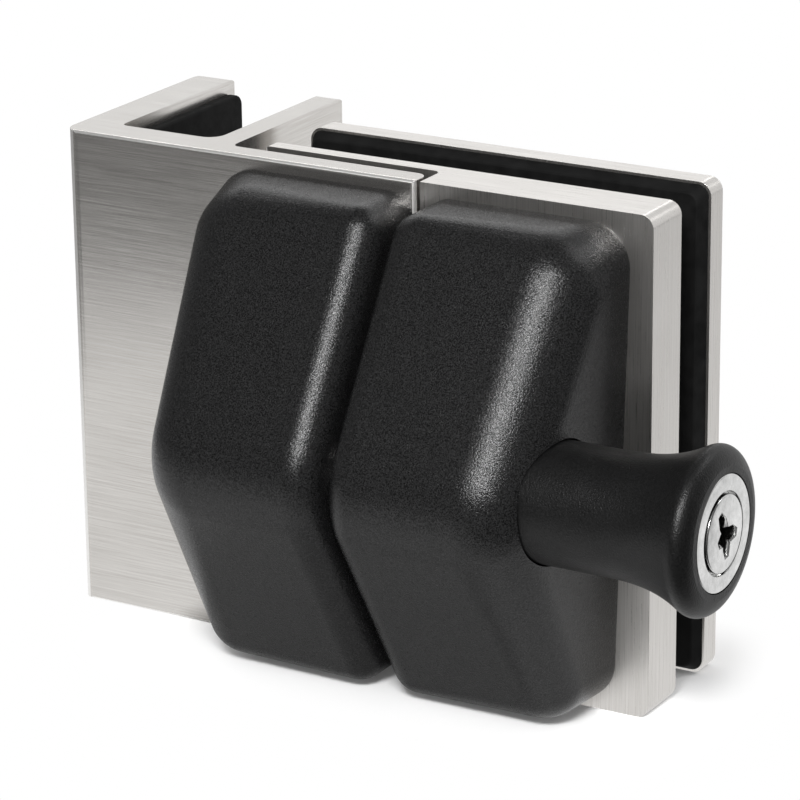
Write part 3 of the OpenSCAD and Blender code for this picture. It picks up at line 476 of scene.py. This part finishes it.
class Shader:
    """A principled material with helpers for its node tree."""

    def __init__(self, name, **values):
        self.material = bpy.data.materials.new(name)
        self.material.use_nodes = True
        self.tree = self.material.node_tree
        self.bsdf = self.tree.nodes["Principled BSDF"]
        for key, value in values.items():
            self.bsdf.inputs[key.replace("_", " ")].default_value = value
        self.place = self.tree.nodes.new("ShaderNodeTexCoord").outputs["Object"]

    def link(self, a, b):
        self.tree.links.new(a, b)

    def noise(self, scale, detail=2.0, stretch=(1, 1, 1), rough=0.5):
        mapping = self.tree.nodes.new("ShaderNodeMapping")
        mapping.inputs["Scale"].default_value = stretch
        self.link(self.place, mapping.inputs["Vector"])
        node = self.tree.nodes.new("ShaderNodeTexNoise")
        node.inputs["Scale"].default_value = scale
        node.inputs["Detail"].default_value = detail
        node.inputs["Roughness"].default_value = rough
        self.link(mapping.outputs["Vector"], node.inputs["Vector"])
        return node.outputs["Fac"]

    def ramp(self, value, low, high, start=0.3, end=0.7):
        """Colour ramp from one colour to another."""
        node = self.tree.nodes.new("ShaderNodeValToRGB")
        node.color_ramp.elements[0].position = start
        node.color_ramp.elements[0].color = (*low, 1)
        node.color_ramp.elements[1].position = end
        node.color_ramp.elements[1].color = (*high, 1)
        self.link(value, node.inputs["Fac"])
        return node.outputs["Color"]

    def spread(self, value, low, high):
        """Maps 0.25 .. 0.75 of a texture to a range."""
        node = self.tree.nodes.new("ShaderNodeMapRange")
        node.inputs["From Min"].default_value = 0.25
        node.inputs["From Max"].default_value = 0.75
        node.inputs["To Min"].default_value = low
        node.inputs["To Max"].default_value = high
        self.link(value, node.inputs["Value"])
        return node.outputs["Result"]

    def math(self, operation, a, b):
        node = self.tree.nodes.new("ShaderNodeMath")
        node.operation = operation
        for socket, value in zip(node.inputs, (a, b)):
            if isinstance(value, (int, float)):
                socket.default_value = value
            else:
                self.link(value, socket)
        return node.outputs["Value"]

    def mix(self, factor, a, b):
        """Mixes two texture values."""
        node = self.tree.nodes.new("ShaderNodeMix")
        node.data_type = "FLOAT"
        self.link(factor, node.inputs["Factor"])
        self.link(a, node.inputs["A"])
        self.link(b, node.inputs["B"])
        return node.outputs["Result"]

    def bump(self, height, strength, distance):
        node = self.tree.nodes.new("ShaderNodeBump")
        node.inputs["Strength"].default_value = strength
        node.inputs["Distance"].default_value = distance
        self.link(height, node.inputs["Height"])
        self.link(node.outputs["Normal"], self.bsdf.inputs["Normal"])

    def facing_up(self):
        """About 1 on level faces and 0 on upright ones."""
        geometry = self.tree.nodes.new("ShaderNodeNewGeometry")
        split = self.tree.nodes.new("ShaderNodeSeparateXYZ")
        self.link(geometry.outputs["Normal"], split.inputs["Vector"])
        return self.math("GREATER_THAN", self.math("ABSOLUTE", split.outputs["Z"], 0.0), 0.7)

    def edge(self):
        """1 on the middle of the broken edges of front and back faces, where a highlight is painted and the
        steel is rougher.
        """
        geometry = self.tree.nodes.new("ShaderNodeNewGeometry")
        split = self.tree.nodes.new("ShaderNodeSeparateXYZ")
        self.link(geometry.outputs["True Normal"], split.inputs["Vector"])
        slope = self.math("ABSOLUTE", split.outputs["Y"], 0.0)
        above = self.math("GREATER_THAN", slope, EDGE_SLOPES[0])
        below = self.math("LESS_THAN", slope, EDGE_SLOPES[1])
        return self.math("MULTIPLY", above, below)

    def painted_highlight(self, factor, colour, highlight_colour):
        """Colour that turns to a painted highlight colour where the factor is 1."""
        node = self.tree.nodes.new("ShaderNodeMix")
        node.data_type = "RGBA"
        self.link(factor, node.inputs[0])
        self.link(colour, node.inputs[6])
        node.inputs[7].default_value = (*highlight_colour, 1)
        return node.outputs[2]


def brushed(name, upright, level, rough, smear=0.0, dark=(0.53, 0.51, 0.485), light=(0.74, 0.72, 0.695)):
    """Brushed stainless steel; upright and level give the stretch of the brushing on such faces, and smear
    draws the reflections out sideways."""
    s = Shader(name, Metallic=1.0, Roughness=rough, Anisotropic=smear)
    fine = s.mix(s.facing_up(), s.noise(1.0, 4.0, upright, 0.65), s.noise(1.0, 4.0, level, 0.65))
    coarse = s.noise(45.0, 2.0)
    edge = s.edge()
    tone = s.ramp(s.mix(s.spread(coarse, 0.1, 0.3), fine, coarse), dark, light)
    # A light colour is painted on the broken edges as a highlight, and they are made rougher
    s.link(s.painted_highlight(edge, tone, EDGE_HIGHLIGHT_PAINT), s.bsdf.inputs["Base Color"])
    rougher = s.math("MULTIPLY", edge, EDGE_ROUGHER)
    s.link(s.math("ADD", s.spread(fine, rough - 0.05, rough + 0.05), rougher), s.bsdf.inputs["Roughness"])
    if smear:
        sideways = s.tree.nodes.new("ShaderNodeVectorMath")
        sideways.operation = "CROSS_PRODUCT"
        sideways.inputs[0].default_value = SMEAR_AXIS
        s.link(s.tree.nodes.new("ShaderNodeNewGeometry").outputs["Normal"], sideways.inputs[1])
        s.link(sideways.outputs["Vector"], s.bsdf.inputs["Tangent"])
    s.bump(fine, 0.2, 0.00005)
    haze = s.tree.nodes.new("ShaderNodeBsdfGlossy")
    haze.inputs["Roughness"].default_value = HAZE_ROUGH
    s.link(s.bsdf.inputs["Base Color"].links[0].from_socket, haze.inputs["Color"])
    both = s.tree.nodes.new("ShaderNodeMixShader")
    both.inputs["Fac"].default_value = HAZE_SHARE
    s.link(s.bsdf.outputs["BSDF"], both.inputs[1])
    s.link(haze.outputs["BSDF"], both.inputs[2])
    s.link(both.outputs["Shader"], s.tree.nodes["Material Output"].inputs["Surface"])
    return s.material


keep_metal = brushed("keep_brushed_steel", (ALONG, ALONG, ACROSS), (ALONG, ACROSS, ALONG), 0.22)
# Gate plates: the same steel brushed upright with reflections drawn out sideways, its colours painted lighter
# than the keep's to brighten them, which is painted light
gate_metal_painted_lighter = brushed("gate_brushed_steel", (ACROSS, ACROSS, ALONG), (ALONG, ACROSS, ALONG), 0.3, 0.7,
                     (0.57, 0.55, 0.525), (0.79, 0.77, 0.745))

polymer = Shader("housing_polymer_grain", Roughness=0.3, IOR=1.36)
grain = polymer.noise(3000.0, 2.0, rough=0.6)
polymer.link(polymer.ramp(polymer.noise(3600.0, 1.0), (0.001, 0.001, 0.001), (0.016, 0.016, 0.0163)),
             polymer.bsdf.inputs["Base Color"])
polymer.link(polymer.spread(grain, 0.17, 0.32), polymer.bsdf.inputs["Roughness"])
polymer.bump(grain, 0.9, 0.00011)

satin = Shader("knob_polymer_satin", Roughness=0.4, IOR=1.36)
satin.link(satin.ramp(satin.noise(3600.0, 1.0), (0.001, 0.001, 0.001), (0.007, 0.007, 0.0071)),
           satin.bsdf.inputs["Base Color"])
satin.link(satin.spread(satin.noise(180.0, 3.0), 0.36, 0.44), satin.bsdf.inputs["Roughness"])
satin.bump(satin.noise(3000.0, 2.0), 0.9, 0.0001)

rubber = Shader("gasket_rubber_matte", Roughness=0.7, IOR=1.2)
rubber.link(rubber.ramp(rubber.noise(350.0, 4.0), (0.003, 0.003, 0.003), (0.007, 0.007, 0.007)),
            rubber.bsdf.inputs["Base Color"])
rubber.link(rubber.spread(rubber.noise(700.0, 2.0), 0.6, 0.8), rubber.bsdf.inputs["Roughness"])
rubber.bump(rubber.noise(1500.0, 3.0), 0.25, 0.0001)

chrome = Shader("lock_polished_plating", Metallic=1.0, Roughness=0.1)
chrome.link(chrome.ramp(chrome.noise(260.0, 5.0, rough=0.65), (0.5, 0.5, 0.495), (0.78, 0.78, 0.775)),
            chrome.bsdf.inputs["Base Color"])
chrome.link(chrome.spread(chrome.noise(420.0, 3.0), 0.1, 0.2), chrome.bsdf.inputs["Roughness"])
chrome.bump(chrome.noise(210.0, 2.0), 0.3, 0.0003)


def turned(name, colour, rough, metallic=1.0, scale=900.0):
    """Plain metal or polymer of the small and inner pieces, with fine tool marks."""
    s = Shader(name, Metallic=metallic)
    marks = s.noise(scale, 3.0)
    s.link(s.ramp(marks, tuple(0.85 * c for c in colour), tuple(min(1.0, 1.1 * c) for c in colour)),
           s.bsdf.inputs["Base Color"])
    s.link(s.spread(marks, rough - 0.06, rough + 0.06), s.bsdf.inputs["Roughness"])
    s.bump(marks, 0.1, 0.00005)
    return s.material


by_slot = {
    "brushed_plate": keep_metal,
    "gasket_rubber": rubber.material,
    "housing_polymer": polymer.material,
    "knob_polymer": satin.material,
    "bearing_polymer": turned("bearing_polymer_dark", (0.05, 0.05, 0.055), 0.45, 0.0),
    "sleeve_polymer": turned("sleeve_polymer_natural", (0.72, 0.71, 0.66), 0.4, 0.0),
    "bolt_steel": turned("bolt_turned_steel", (0.58, 0.575, 0.565), 0.28),
    "magnet_plating": turned("magnet_nickel", (0.6, 0.58, 0.54), 0.2),
    "screw_steel": turned("screw_stainless", (0.52, 0.515, 0.505), 0.3),
    "spring_steel": turned("spring_wire", (0.45, 0.445, 0.44), 0.3),
    "lock_chrome": chrome.material,
    "cam_brass": turned("cam_plain_brass", (0.66, 0.5, 0.24), 0.3),
}
slot_of = {s["node"]: s["material_slot"] for s in frame["record"]["subparts"]}
for name, obj in nodes.items():
    obj.data.materials.clear()
    obj.data.materials.append(by_slot[slot_of[name]])

pieces = [
    (keep_housing, "keep_housing", "latch_frame", None),
    (latch_housing, "latch_housing", "latch_frame", None),
    (knob, "pull_knob", "knob", None),
    (lock_face, "lock_body", "knob", None),
    (plug, "key_plug", "key", None),
    (keep_steel, "keep_bracket", "latch_frame", keep_metal),
    (gate_steel, "gate_plate", "latch_frame", gate_metal_painted_lighter),
    (rear_steel, "rear_plate", "latch_frame", gate_metal_painted_lighter),
    (pressure_steel, "pressure_plate", "latch_frame", gate_metal_painted_lighter),
    (outer_pad, "outer_glass_gasket", "latch_frame", None),
    (inner_pad, "inner_glass_gasket", "latch_frame", None),
    (front_pad, "front_gasket", "latch_frame", None),
    (rear_pad, "rear_gasket", "latch_frame", None),
    (buffer_pad, "buffer_strip", "latch_frame", None),
]
for obj, node, body, material in pieces:
    obj.data.materials.clear()
    obj.data.materials.append(material or by_slot[slot_of[node]])
    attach(obj, body)
    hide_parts(node)


# Studio, in metres

FLOOR_CORNERS = ((-1.2, -0.2), (1.4, -0.2), (1.4, 1.7), (-1.2, 1.7))
SHADED_BOX, SHADED_FADE = ((0.062, 0.003, 0.0), (0.048, 0.021, 0.0)), 0.022
# Painted shade: a darker patch of floor under the housings that only the part's reflections see
REFLECTED_SHADE_BOX, REFLECTED_SHADE_FADE = ((0.054, -0.032, 0.0), (0.04, 0.028, 0.0)), 0.01
NEAR_GREY, NEAR_GLOW, REFLECTED_SHADE_GREY, SCATTER_GREY = 0.92, 0.06, 0.42, 0.8
# A grade is its start and end, and the values there
SHEET_RIGHT_WAY, SHEET_RIGHT_GRADE = (1.0, -0.59, 0.0), (0.16, 0.2, 0.98, 0.05)
SHEET_LEFT_WAY, SHEET_LEFT_GRADE = (1.0, 0.0, 0.0), (-0.24, -0.1, 0.25, 1.0)
ROOM_GRADE, ROOM_LIGHT = (0.48, 0.7, 0.16, 0.9), 0.72


def graded(tree, value, start, end, low, high):
    """Soft step between two numbers."""
    node = tree.nodes.new("ShaderNodeMapRange")
    node.interpolation_type = "SMOOTHSTEP"
    for socket, number in (("From Min", start), ("From Max", end), ("To Min", low), ("To Max", high)):
        node.inputs[socket].default_value = number
    tree.links.new(value, node.inputs["Value"])
    return node.outputs["Result"]


class Floor:
    """The floor's material, with helpers for its node tree."""

    def __init__(self, name):
        self.material = bpy.data.materials.new(name)
        self.material.use_nodes = True
        self.tree = self.material.node_tree
        self.tree.nodes.clear()
        self.place = self.tree.nodes.new("ShaderNodeTexCoord").outputs["Object"]
        self.ray = self.tree.nodes.new("ShaderNodeLightPath").outputs

    def diffuse(self, grey):
        node = self.tree.nodes.new("ShaderNodeBsdfDiffuse")
        node.inputs["Color"].default_value = (grey, grey, grey, 1)
        return node.outputs[0]

    def glow(self, strength):
        """White light of a fixed or linked strength."""
        node = self.tree.nodes.new("ShaderNodeEmission")
        if isinstance(strength, float):
            node.inputs["Strength"].default_value = strength
        else:
            self.tree.links.new(strength, node.inputs["Strength"])
        return node.outputs[0]

    def joined(self, kind, a, b, factor=None):
        """Two shaders, mixed or added."""
        node = self.tree.nodes.new(kind)
        shaders = [i for i in node.inputs if i.type == "SHADER"]
        self.tree.links.new(a, shaders[0])
        self.tree.links.new(b, shaders[1])
        if factor is not None:
            self.tree.links.new(factor, node.inputs["Fac"])
        return node.outputs[0]

    def math(self, operation, a, b):
        node = self.tree.nodes.new("ShaderNodeMath")
        node.operation = operation
        self.tree.links.new(a, node.inputs[0])
        self.tree.links.new(b, node.inputs[1])
        return node.outputs["Value"]

    def vector(self, operation, a, b=(0.0, 0.0, 0.0)):
        """Result of a vector operation with a constant."""
        node = self.tree.nodes.new("ShaderNodeVectorMath")
        node.operation = operation
        self.tree.links.new(a, node.inputs[0])
        node.inputs[1].default_value = b
        return node.outputs["Value" if operation in ("LENGTH", "DOT_PRODUCT") else "Vector"]

    def outside(self, centre, half, fade):
        """0 in a box, given by its centre and half size, to 1 at the end of a fade around it."""
        offset = self.vector("ABSOLUTE", self.vector("SUBTRACT", self.place, centre))
        past = self.vector("MAXIMUM", self.vector("SUBTRACT", offset, half))
        return graded(self.tree, self.vector("LENGTH", past), 0.0, fade, 0.0, 1.0)

    def along(self, direction, grade):
        """A grade along a direction on the floor."""
        return graded(self.tree, self.vector("DOT_PRODUCT", self.place, direction), *grade)

    def show(self, surface):
        out = self.tree.nodes.new("ShaderNodeOutputMaterial")
        self.tree.links.new(surface, out.inputs["Surface"])


def floor_paper():
    """White paper, shaded near the part for the camera, that the part mirrors as a sheet with dark ends and a
    patch of painted shade under the housings.
    """
    f = Floor("studio_floor_paper")
    near = f.joined("ShaderNodeAddShader", f.diffuse(NEAR_GREY), f.glow(NEAR_GLOW))
    plain = f.joined("ShaderNodeMixShader", near, f.glow(1.0), f.outside(*SHADED_BOX, SHADED_FADE))
    sheet = f.math("MULTIPLY", f.along(SHEET_RIGHT_WAY, SHEET_RIGHT_GRADE),
                   f.along(SHEET_LEFT_WAY, SHEET_LEFT_GRADE))
    # Reflections see the floor under the housings as a darker grey, a painted shade
    gloss_floor_with_shade = f.joined("ShaderNodeMixShader", f.diffuse(REFLECTED_SHADE_GREY), f.glow(sheet),
                        f.outside(*REFLECTED_SHADE_BOX, REFLECTED_SHADE_FADE))
    seen = f.joined("ShaderNodeMixShader", gloss_floor_with_shade, plain, f.ray["Is Camera Ray"])
    direct = f.math("MAXIMUM", f.ray["Is Camera Ray"], f.ray["Is Glossy Ray"])
    direct = f.math("MAXIMUM", direct, f.ray["Is Transmission Ray"])
    f.show(f.joined("ShaderNodeMixShader", f.diffuse(SCATTER_GREY), seen, direct))
    return f.material


sheet_mesh = bmesh.new()
sheet_mesh.faces.new([sheet_mesh.verts.new((x, y, 0)) for x, y in FLOOR_CORNERS])
floor = new_object("studio_floor", sheet_mesh, 1.0)
floor.data.materials.append(floor_paper())


def studio_world():
    """White for the camera, even for soft light, and a room that is darker in front in reflections."""
    world = bpy.data.worlds.new("studio")
    world.use_nodes = True
    tree = world.node_tree
    ray = tree.nodes.new("ShaderNodeLightPath").outputs
    direction = tree.nodes.new("ShaderNodeTexCoord")
    split = tree.nodes.new("ShaderNodeSeparateXYZ")
    tree.links.new(direction.outputs["Generated"], split.inputs["Vector"])

    def choose(flag, no, yes):
        """One of two strengths, by a kind of ray."""
        node = tree.nodes.new("ShaderNodeMix")
        node.data_type = "FLOAT"
        tree.links.new(ray[flag], node.inputs["Factor"])
        for socket, value in (("A", no), ("B", yes)):
            if isinstance(value, float):
                node.inputs[socket].default_value = value
            else:
                tree.links.new(value, node.inputs[socket])
        return node.outputs["Result"]

    room = graded(tree, split.outputs["Y"], *ROOM_GRADE)
    background = tree.nodes["Background"]
    background.inputs["Color"].default_value = (1, 1, 1, 1)
    tree.links.new(choose("Is Camera Ray", choose("Is Glossy Ray", ROOM_LIGHT, room), 1.0),
                   background.inputs["Strength"])
    return world


scene.world = studio_world()


def softbox(name, place, target, size, power):
    """Rectangular soft light that points at a place."""
    data = bpy.data.lights.new(name, "AREA")
    data.shape = "RECTANGLE"
    data.size, data.size_y = size
    data.energy = power
    obj = bpy.data.objects.new(name, data)
    scene.collection.objects.link(obj)
    obj.location = place
    obj.rotation_euler = (Vector(target) - Vector(place)).to_track_quat("-Z", "Y").to_euler()
    obj.visible_camera = False
    return obj


softbox("front_key", (0.33, -0.62, 0.55), (0.08, -0.03, 0.07), (0.25, 0.13), 8.0)
softbox("back_strip", (-0.44, 0.66, 0.64), (0.06, -0.01, 0.09), (0.8, 0.13), 1.1)
softbox("corner_glow", (0.54, 0.42, 0.74), (0.09, -0.01, 0.09), (0.2, 0.2), 1.2)


# The camera, from where the photo was taken, in degrees and millimetres

CAMERA_AZIMUTH, CAMERA_ELEVATION, CAMERA_ROLL = 30.521, 18.929, -0.628
CAMERA_AIM, CAMERA_DISTANCE = (54.261, 1.994, 51.623), 771.984
CAMERA_LENS, SENSOR_WIDTH = 176.889, 36.0


def photo_camera():
    """Camera that looks at its aim from a turn, a height and a roll."""
    azimuth, elevation, roll = [math.radians(a) for a in (CAMERA_AZIMUTH, CAMERA_ELEVATION, CAMERA_ROLL)]
    back = Vector((math.sin(azimuth) * math.cos(elevation), -math.cos(azimuth) * math.cos(elevation),
                   math.sin(elevation)))
    level = Vector((math.cos(azimuth), math.sin(azimuth), 0))
    upright = back.cross(level)
    right = math.cos(roll) * level + math.sin(roll) * upright
    up = -math.sin(roll) * level + math.cos(roll) * upright
    stand = Vector(CAMERA_AIM) * MM + CAMERA_DISTANCE * MM * back
    camera = bpy.data.objects.new("camera", bpy.data.cameras.new("camera"))
    scene.collection.objects.link(camera)
    camera.data.sensor_fit = "HORIZONTAL"
    camera.data.sensor_width = SENSOR_WIDTH
    camera.data.lens = CAMERA_LENS
    camera.data.clip_start = 0.01
    camera.matrix_world = Matrix.Translation(stand) @ Matrix((right, up, back)).transposed().to_4x4()
    return camera


scene.camera = photo_camera()

scene.view_settings.view_transform = "Standard"
